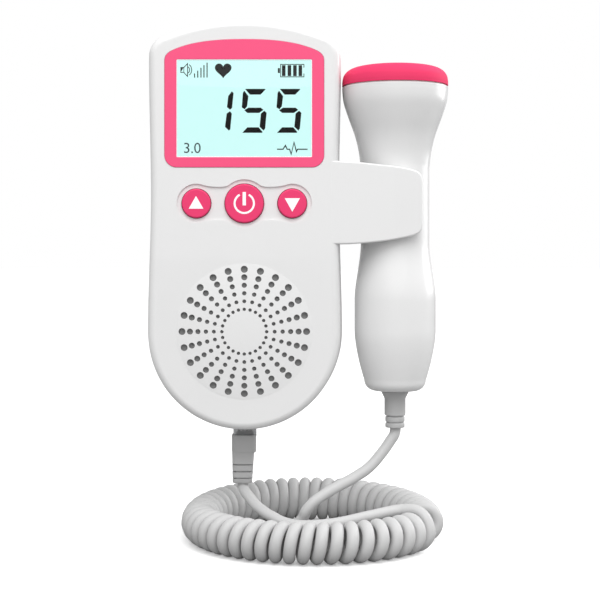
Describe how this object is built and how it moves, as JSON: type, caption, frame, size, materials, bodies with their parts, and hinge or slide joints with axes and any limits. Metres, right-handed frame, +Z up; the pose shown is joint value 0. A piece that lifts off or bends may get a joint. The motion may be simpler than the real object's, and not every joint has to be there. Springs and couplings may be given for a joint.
{
  "type": "fetal doppler monitor",
  "caption": "Hand-held fetal doppler: upright monitor with screen, push buttons and speaker grille, and a corded probe pulled sideways from its side clip.",
  "frame": {"origin": "on the flat upper pad of the monitor's back face, 38 mm above the middle of the monitor's height, midway across its width", "axes": "+Z up along the monitor's length, +Y out of its back, -Y out of its screen, +X towards the probe"},
  "size_m": [0.0992, 0.0872, 0.1712],
  "materials": {
    "case_white": "satin white moulded ABS",
    "bezel_pink": "smooth pink frame",
    "button_pink": "smooth pink key",
    "cap_pink": "smooth pink cap",
    "lens_clear": "clear acrylic",
    "lcd_glass": "lit pale aqua display",
    "black_plastic": "black moulded plastic",
    "keypad_silicone": "soft silicone sheet",
    "cone_paper": "pressed black paper",
    "bright_steel": "plated steel",
    "board_green": "green solder mask",
    "cell_wrap": "plain shrink-wrapped cell",
    "plug_clear": "clear moulded plug",
    "boot_grey": "satin grey strain relief",
    "cord_grey": "satin pale grey cord jacket",
    "piezo_ceramic": "silvered ceramic"
  },
  "bodies": {
    "monitor": {"front_shell": "case_white", "rear_shell": "case_white", "screen_bezel": "bezel_pink", "screen_lens": "lens_clear", "lcd_panel": "lcd_glass", "lcd_backlight": "black_plastic", "keypad_membrane": "keypad_silicone", "switch_up": "black_plastic", "switch_power": "black_plastic", "switch_down": "black_plastic", "speaker_frame": "black_plastic", "speaker_cone": "cone_paper", "speaker_magnet": "bright_steel", "main_board": "board_green", "cord_socket": "black_plastic", "earphone_socket": "black_plastic", "cell_left": "cell_wrap", "cell_right": "cell_wrap", "plate_contact_left": "bright_steel", "plate_contact_right": "bright_steel", "spring_contact_left": "bright_steel", "spring_contact_right": "bright_steel", "case_screw_1": "bright_steel", "case_screw_2": "bright_steel", "case_screw_3": "bright_steel", "case_screw_4": "bright_steel", "board_screw_1": "bright_steel", "board_screw_2": "bright_steel", "plug_body": "plug_clear", "plug_boot": "boot_grey", "monitor_lead": "cord_grey", "curly_cord": "cord_grey", "probe_lead": "cord_grey"},
    "probe": {"probe_front_shell": "case_white", "probe_rear_shell": "case_white", "probe_cap": "cap_pink", "crystal_transmit": "piezo_ceramic", "crystal_receive": "piezo_ceramic", "crystal_holder": "black_plastic", "probe_board": "board_green", "probe_relief": "boot_grey"},
    "button_up": {"button_up": "button_pink"},
    "button_power": {"button_power": "button_pink"},
    "button_down": {"button_down": "button_pink"},
    "battery_cover": {"battery_cover": "case_white"}
  },
  "joints": [
    {"name": "button_up_press", "type": "slide", "parent": "monitor", "child": "button_up", "axis": [0, 1, 0], "range_m": [0, 0.0007], "stiffness_N_per_m": 2300},
    {"name": "button_power_press", "type": "slide", "parent": "monitor", "child": "button_power", "axis": [0, 1, 0], "range_m": [0, 0.0007], "stiffness_N_per_m": 2300},
    {"name": "button_down_press", "type": "slide", "parent": "monitor", "child": "button_down", "axis": [0, 1, 0], "range_m": [0, 0.0007], "stiffness_N_per_m": 2300},
    {"name": "battery_cover_slide", "type": "slide", "parent": "monitor", "child": "battery_cover", "axis": [0, 0, -1], "range_m": [0, 0.018]},
    {"name": "probe_pull", "type": "slide", "parent": "monitor", "child": "probe", "axis": [1, 0, 0], "range_m": [0, 0.04]}
  ]
}
